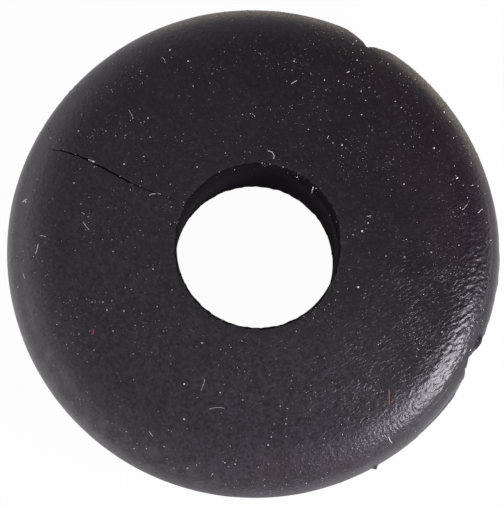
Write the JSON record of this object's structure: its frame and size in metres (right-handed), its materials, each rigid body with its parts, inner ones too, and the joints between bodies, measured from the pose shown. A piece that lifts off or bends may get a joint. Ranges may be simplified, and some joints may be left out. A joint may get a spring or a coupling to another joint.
{
  "type": "rubber sealing ring",
  "caption": "Thick flat moulded rubber ring with full round shoulders, a plain bore and a low parting bead round its side, worn and cracked across its upper face; seals under a bolt's head or a cap.",
  "frame": {"origin": "middle of the ring's outside, on its lower flat face", "axes": "+Z along the bore's axis, up through the cracked upper face; +X to the right in the picture"},
  "size_m": [0.032, 0.032, 0.007],
  "materials": {
    "rubber": "matte, aged, finely grained"
  },
  "bodies": {
    "root": {"sealing_ring": "rubber"}
  },
  "joints": []
}
